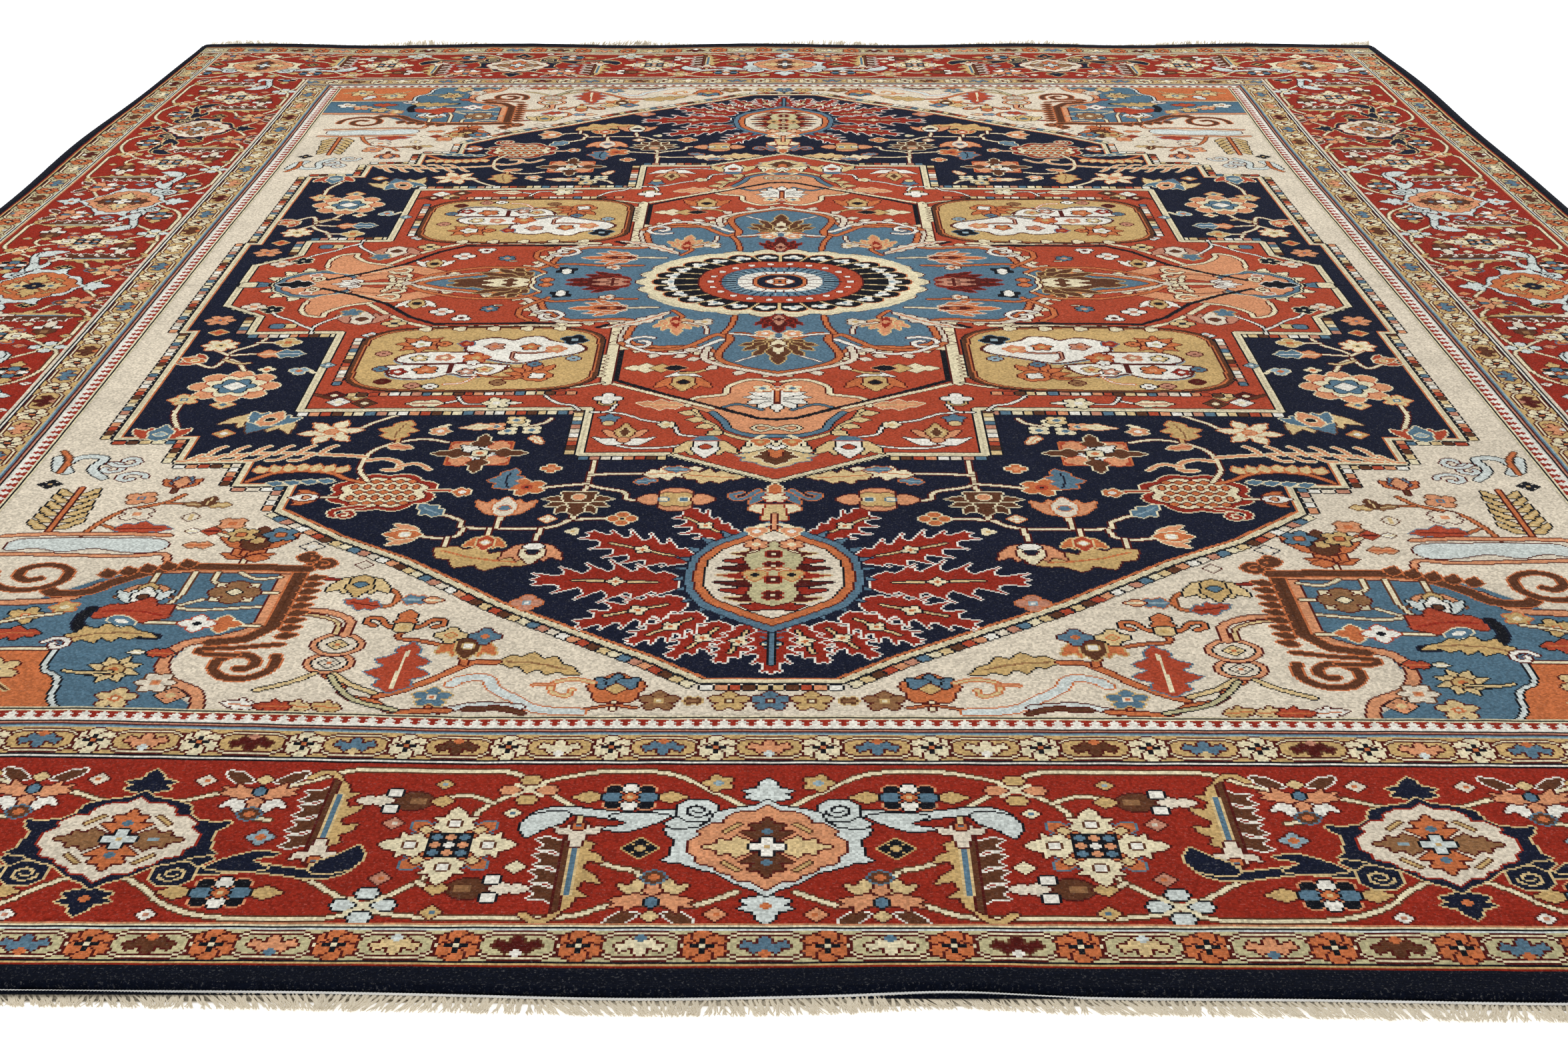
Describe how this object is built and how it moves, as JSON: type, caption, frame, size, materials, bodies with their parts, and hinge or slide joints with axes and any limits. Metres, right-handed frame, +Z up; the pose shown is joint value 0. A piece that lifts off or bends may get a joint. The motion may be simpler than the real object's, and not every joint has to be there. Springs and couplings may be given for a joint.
{
  "type": "area rug",
  "caption": "Rectangular hand-knotted wool area rug with a stepped medallion, patterned borders, bound sides and a short cotton fringe at both ends; lies flat on a floor.",
  "frame": {"origin": "middle of the underside, on the floor", "axes": "+X across the rug along the wefts, +Y along the warps from the near fringed end to the far one, +Z up out of the pile"},
  "size_m": [2.7432, 3.7088, 0.0118],
  "materials": {
    "cotton": "undyed plied cotton, matt",
    "wool_navy": "clipped hand-knotted wool pile with a soft sheen",
    "wool_brick_red": "clipped hand-knotted wool pile with a soft sheen",
    "wool_ivory": "clipped hand-knotted wool pile, undyed",
    "wool_gold": "clipped hand-knotted wool pile",
    "wool_mid_blue": "clipped hand-knotted wool pile with abrash",
    "wool_sage_cream": "clipped hand-knotted wool pile"
  },
  "bodies": {
    "root": {"foundation": "cotton", "kilim_end_near": "cotton", "kilim_end_far": "cotton", "end_cord_near": "cotton", "end_cord_far": "cotton", "fringe_near": "cotton", "fringe_far": "cotton", "selvedge_core_left": "cotton", "selvedge_core_right": "cotton", "selvedge_binding_left": "wool_navy", "selvedge_binding_right": "wool_navy", "guard_near": "wool_navy", "guard_far": "wool_navy", "guard_left": "wool_navy", "guard_right": "wool_navy", "outer_border_near": "wool_sage_cream", "outer_border_far": "wool_sage_cream", "outer_border_left": "wool_sage_cream", "outer_border_right": "wool_sage_cream", "main_border_near": "wool_brick_red", "main_border_far": "wool_brick_red", "main_border_left": "wool_brick_red", "main_border_right": "wool_brick_red", "inner_border_near": "wool_gold", "inner_border_far": "wool_gold", "inner_border_left": "wool_gold", "inner_border_right": "wool_gold", "dogtooth_near": "wool_brick_red", "dogtooth_far": "wool_brick_red", "dogtooth_left": "wool_brick_red", "dogtooth_right": "wool_brick_red", "field_near_left": "wool_ivory", "field_near_right": "wool_ivory", "spandrel_near_left": "wool_mid_blue", "spandrel_near_right": "wool_mid_blue", "medallion_near": "wool_navy", "red_ground_near": "wool_brick_red", "cartouche_near_left": "wool_gold", "cartouche_near_right": "wool_gold", "field_far_left": "wool_ivory", "field_far_right": "wool_ivory", "spandrel_far_left": "wool_mid_blue", "spandrel_far_right": "wool_mid_blue", "medallion_far": "wool_navy", "red_ground_far": "wool_brick_red", "cartouche_far_left": "wool_gold", "cartouche_far_right": "wool_gold", "centre_ground": "wool_mid_blue", "centre_rosette": "wool_gold"}
  },
  "joints": []
}
